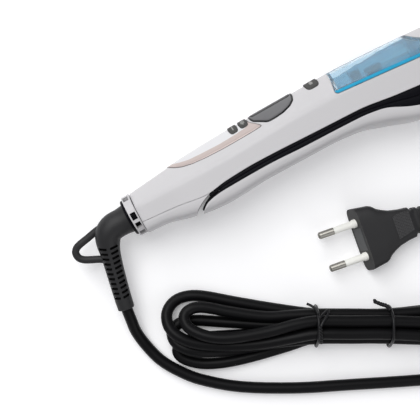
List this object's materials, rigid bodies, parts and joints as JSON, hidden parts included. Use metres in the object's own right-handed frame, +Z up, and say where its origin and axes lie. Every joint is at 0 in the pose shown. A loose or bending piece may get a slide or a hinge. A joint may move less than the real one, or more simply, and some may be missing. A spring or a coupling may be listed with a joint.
{
  "type": "steam hair straightener",
  "caption": "Steam hair straightener lying on its flat side, with hinged heated arms, lift-out water tank, buttons, display, swivelling mains lead tied in a hank and a flat two-pin plug.",
  "frame": {"origin": "on the flat side face that the styler rests on, 100 mm from the tail end of the handle, level with the swivel axis", "axes": "+X along the handle from tail to tip, +Y towards the crown with display and tank, +Z up out of the resting side"},
  "size_m": [0.342, 0.2032, 0.034],
  "materials": {
    "white_shell": "satin white",
    "black_frame": "satin black",
    "grey_rubber": "matt dark grey",
    "cord_sheath": "satin black",
    "button_grey": "matt grey",
    "display_glass": "glossy smoked",
    "tank_clear": "clear blue",
    "rose_trim": "rose silver",
    "plate_ceramic": "ceramic coated",
    "steel": "plain",
    "brass": "plain",
    "board": "solder mask"
  },
  "bodies": {
    "cord_end": {"cord_boot": "grey_rubber", "swivel_neck": "black_frame", "slip_ring_live": "brass", "slip_ring_neutral": "brass", "cord_lead": "cord_sheath", "cord_hank": "cord_sheath", "cord_tail": "cord_sheath", "tie_left": "black_frame", "tie_right": "black_frame", "plug_body": "grey_rubber", "plug_pin_left": "brass", "plug_pin_right": "brass", "pin_sleeve_left": "white_shell", "pin_sleeve_right": "white_shell"},
    "handle": {"upper_shell": "white_shell", "tail_cover": "white_shell", "swivel_collar": "white_shell", "brush_live": "brass", "brush_neutral": "brass", "leaf_trim": "rose_trim", "leaf_panel": "white_shell", "display_window": "display_glass", "lcd_module": "board", "control_board": "board", "minus_button_switch": "black_frame", "plus_button_switch": "black_frame", "power_button_switch": "black_frame", "upper_frame": "black_frame", "hinge_ear_left": "black_frame", "hinge_ear_right": "black_frame", "hinge_pin": "steel", "upper_plate": "plate_ceramic", "upper_heater": "steel", "steam_chamber": "steel", "nozzle_strip": "black_frame", "pump": "steel", "steam_hose": "grey_rubber", "tank_seat": "black_frame", "inlet_seal": "grey_rubber"},
    "tank": {"tank_cover": "tank_clear", "tank_base": "white_shell", "tank_water": "tank_clear", "outlet_valve": "black_frame"},
    "lower_arm": {"lower_shell": "white_shell", "lower_frame": "black_frame", "arm_knuckle": "black_frame", "arm_cheek_left": "black_frame", "arm_cheek_right": "black_frame", "comb_rail_left": "black_frame", "comb_rail_right": "black_frame", "cushion_rear": "grey_rubber", "cushion_front": "grey_rubber"},
    "floating_plate": {"lower_plate": "plate_ceramic", "lower_heater": "steel"},
    "minus_key": {"minus_button": "button_grey"},
    "plus_key": {"plus_button": "button_grey"},
    "power_key": {"power_button": "button_grey"},
    "lock_slider": {"arm_lock": "button_grey"}
  },
  "joints": [
    {"name": "cord_swivel", "type": "hinge", "parent": "cord_end", "child": "handle", "pos_m": [-0.1, 0, 0.017], "axis": [1, 0, 0], "continuous": true},
    {"name": "arm_hinge", "type": "hinge", "parent": "handle", "child": "lower_arm", "pos_m": [-0.06, -0.0129, 0.017], "axis": [0, 0, -1], "range_deg": [0, 12]},
    {"name": "plate_float", "type": "slide", "parent": "lower_arm", "child": "floating_plate", "axis": [0, -1, 0], "range_m": [0, 0.001], "stiffness_N_per_m": 2000},
    {"name": "tank_release", "type": "slide", "parent": "handle", "child": "tank", "axis": [0, 1, 0], "range_m": [0, 0.032]},
    {"name": "minus_press", "type": "slide", "parent": "handle", "child": "minus_key", "axis": [0, -1, 0], "range_m": [0, 0.0005], "stiffness_N_per_m": 300},
    {"name": "plus_press", "type": "slide", "parent": "handle", "child": "plus_key", "axis": [0, -1, 0], "range_m": [0, 0.0005], "stiffness_N_per_m": 300},
    {"name": "power_press", "type": "slide", "parent": "handle", "child": "power_key", "axis": [0, -1, 0], "range_m": [0, 0.0005], "stiffness_N_per_m": 300},
    {"name": "lock_slide", "type": "slide", "parent": "handle", "child": "lock_slider", "axis": [1, 0, 0], "range_m": [0, 0.0048]}
  ]
}
